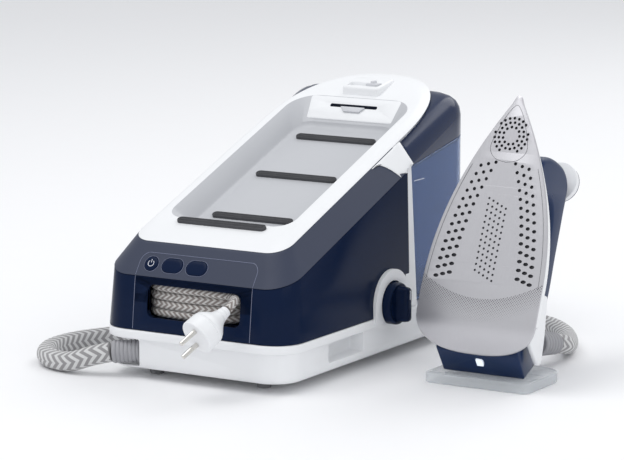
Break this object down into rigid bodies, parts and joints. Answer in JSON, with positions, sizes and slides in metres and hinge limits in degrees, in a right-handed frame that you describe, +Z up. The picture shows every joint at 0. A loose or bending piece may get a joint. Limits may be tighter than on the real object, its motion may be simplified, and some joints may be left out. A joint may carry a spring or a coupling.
{
  "type": "steam generator iron",
  "caption": "Steam iron standing beside its boiler station: sloping iron cradle, removable rear tank, wound mains lead and textile steam hose.",
  "frame": {"origin": "on the table under the middle of the box round the station and the iron, cords left out", "axes": "+X from the station towards the iron, +Y to the back, +Z up"},
  "size_m": [0.4911, 0.6688, 0.2656],
  "materials": {
    "white_plastic": "satin white moulding",
    "grey_rubber": "matt ribbed rubber",
    "grey_plastic": "matt grey",
    "navy_gloss": "glossy dark navy",
    "slate_plastic": "satin slate blue",
    "navy_satin": "satin navy",
    "steel": "drawn steel",
    "brass": "turned brass",
    "hose_textile": "grey and white chevron braid",
    "lead_textile": "taupe and white chevron braid",
    "soleplate_coating": "fine satin, silver lilac",
    "cast_aluminium": "as cast",
    "tank_clear_blue": "translucent blue",
    "clear_plastic": "clear",
    "lens": "frosted white lens",
    "circuit_board": "green solder mask",
    "pin_nickel": "nickel plated"
  },
  "bodies": {
    "station": {"base_tray": "white_plastic", "foot_1": "grey_rubber", "foot_2": "grey_rubber", "foot_3": "grey_rubber", "foot_4": "grey_rubber", "body_shell": "navy_gloss", "control_band": "slate_plastic", "control_panel": "slate_plastic", "front_fascia": "navy_gloss", "cord_bin": "navy_gloss", "cradle": "white_plastic", "rest_strip_1": "grey_rubber", "rest_strip_2": "grey_rubber", "rest_strip_3": "grey_rubber", "rest_strip_4": "grey_rubber", "rear_frame": "white_plastic", "boiler": "steel", "boiler_heater": "steel", "boiler_stand": "grey_plastic", "drain_valve": "brass", "pump": "grey_plastic", "steam_valve": "brass", "control_board": "circuit_board", "tank_socket": "grey_plastic", "hose_socket": "grey_plastic", "hose_sleeve": "grey_plastic", "steam_hose": "hose_textile", "mains_hank": "lead_textile", "mains_lead": "lead_textile", "mains_plug": "white_plastic", "plug_pin_1": "pin_nickel", "plug_pin_2": "pin_nickel"},
    "rinse_knob": {"rinse_knob": "navy_gloss"},
    "power_button": {"power_button": "navy_gloss"},
    "boost_button": {"boost_button": "navy_gloss"},
    "program_button": {"program_button": "navy_gloss"},
    "lock_slider": {"lock_slider": "white_plastic"},
    "tank": {"water_tank": "tank_clear_blue", "tank_cap": "navy_gloss", "tank_valve": "grey_plastic"},
    "tank_flap": {"tank_flap": "navy_gloss"},
    "iron": {"soleplate": "soleplate_coating", "steam_chamber": "cast_aluminium", "iron_skirt": "white_plastic", "iron_heel": "navy_satin", "status_lens": "lens", "iron_handle": "navy_satin", "handle_cap": "white_plastic", "thermostat": "steel", "heel_rest": "clear_plastic", "hose_boot": "grey_plastic"},
    "steam_trigger": {"steam_trigger": "white_plastic"},
    "mode_button": {"mode_button": "grey_plastic"}
  },
  "joints": [
    {"name": "rinse_knob_turn", "type": "hinge", "parent": "station", "child": "rinse_knob", "pos_m": [0.014, 0.00175, 0.058], "axis": [1, 0, 0], "range_deg": [0, 90]},
    {"name": "tank_slide", "type": "slide", "parent": "station", "child": "tank", "axis": [0, 1, 0], "range_m": [0, 0.15]},
    {"name": "tank_flap_hinge", "type": "hinge", "parent": "tank", "child": "tank_flap", "pos_m": [-0.094, 0.18775, 0.212], "axis": [-1, 0, 0], "range_deg": [0, 80]},
    {"name": "lock_slide", "type": "slide", "parent": "station", "child": "lock_slider", "axis": [-1, 0, 0], "range_m": [0, 0.012]},
    {"name": "power_button_press", "type": "slide", "parent": "station", "child": "power_button", "axis": [0, 0.8194, -0.5732], "range_m": [0, 0.0015], "stiffness_N_per_m": 1500},
    {"name": "boost_button_press", "type": "slide", "parent": "station", "child": "boost_button", "axis": [0, 0.8194, -0.5732], "range_m": [0, 0.0015], "stiffness_N_per_m": 1500},
    {"name": "program_button_press", "type": "slide", "parent": "station", "child": "program_button", "axis": [0, 0.8194, -0.5732], "range_m": [0, 0.0015], "stiffness_N_per_m": 1500},
    {"name": "iron_lift", "type": "slide", "parent": "station", "child": "iron", "axis": [0, 0, 1], "range_m": [0, 0.15]},
    {"name": "steam_trigger_press", "type": "slide", "parent": "iron", "child": "steam_trigger", "axis": [0, 0.9171, -0.3987], "range_m": [0, 0.004], "stiffness_N_per_m": 800},
    {"name": "mode_button_press", "type": "slide", "parent": "iron", "child": "mode_button", "axis": [0, -0.9171, 0.3987], "range_m": [0, 0.0015], "stiffness_N_per_m": 1500}
  ]
}
